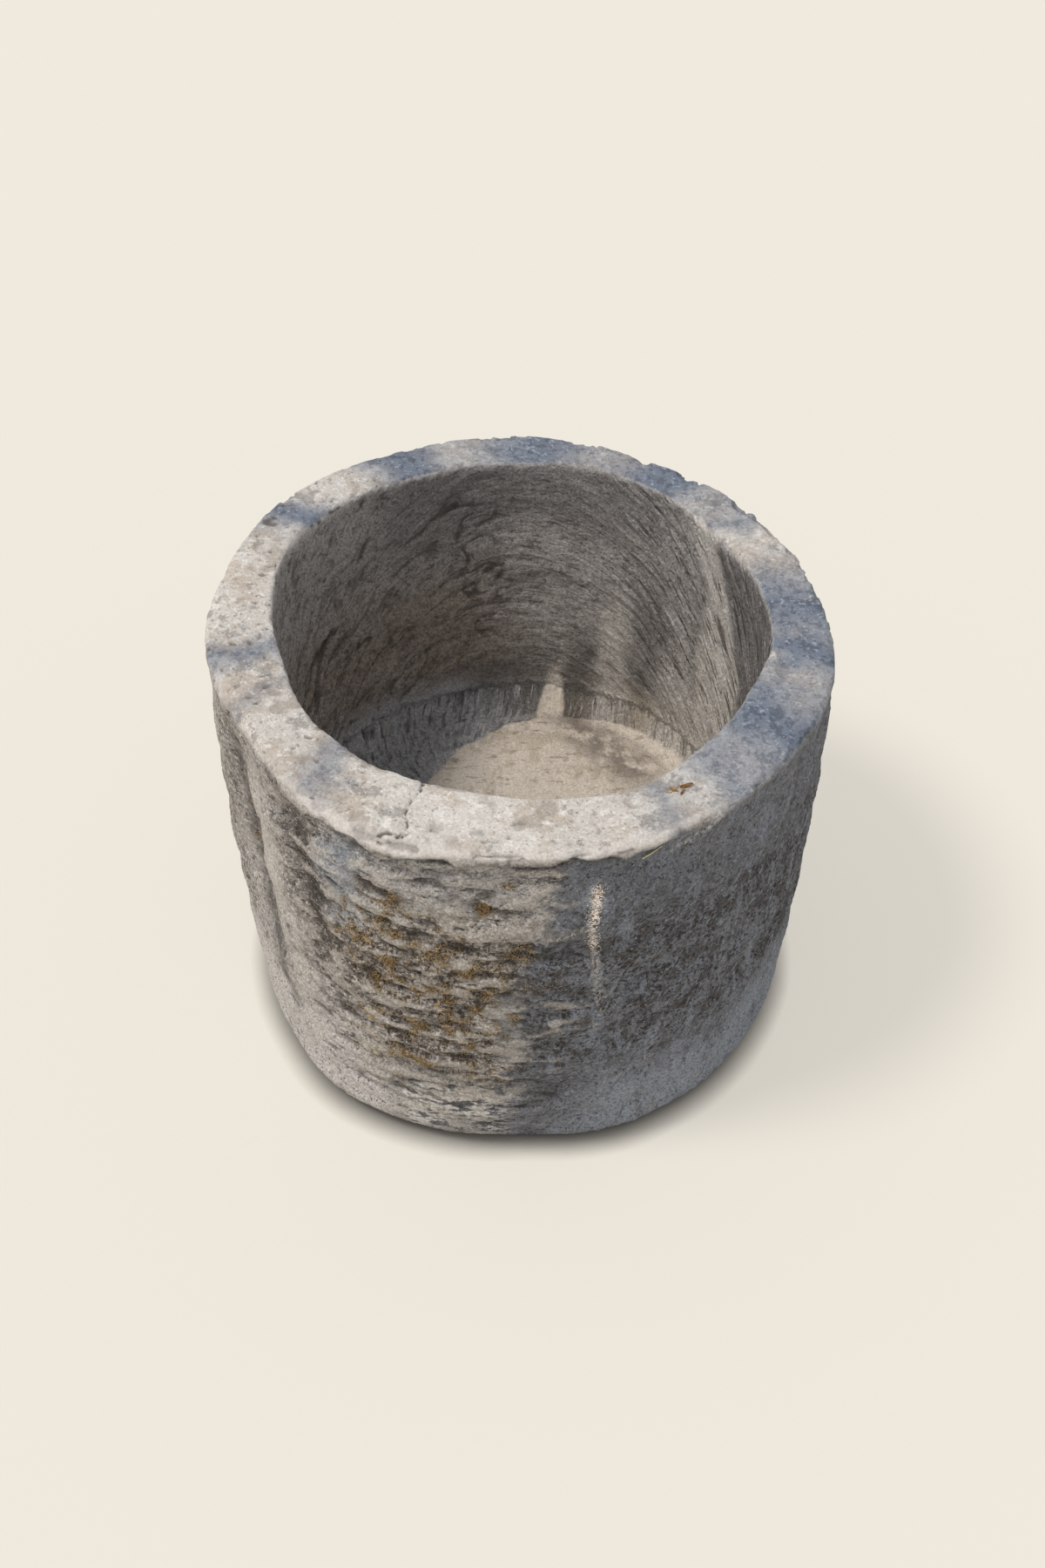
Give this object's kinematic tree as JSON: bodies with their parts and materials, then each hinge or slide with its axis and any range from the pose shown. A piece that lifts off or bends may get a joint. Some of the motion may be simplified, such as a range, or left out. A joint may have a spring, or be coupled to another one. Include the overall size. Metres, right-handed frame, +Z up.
{
  "type": "stone planter",
  "caption": "Round hand-carved limestone planter with a broad worn rim, a slightly tapered chiselled wall, a deep cavity and a drain hole through its floor.",
  "frame": {"origin": "on the ground, under the middle of the block, on the axis of the drain hole", "axes": "+Z up out of the mouth; -Y towards the picture's viewer, so the front is at -Y; +X to the viewer's right"},
  "size_m": [0.6432, 0.6683, 0.4978],
  "materials": {
    "limestone": "matte",
    "moss": "matte",
    "lichen": "matte",
    "dry_grass": "matte",
    "dry_leaf": "matte"
  },
  "bodies": {
    "root": {"stone_body": "limestone", "moss_upper": "moss", "moss_middle": "moss", "moss_lower": "moss", "moss_groove": "moss", "moss_specks": "moss", "lichen_ridge": "lichen", "grass_stalk": "dry_grass", "leaf_scraps": "dry_leaf"}
  },
  "joints": []
}
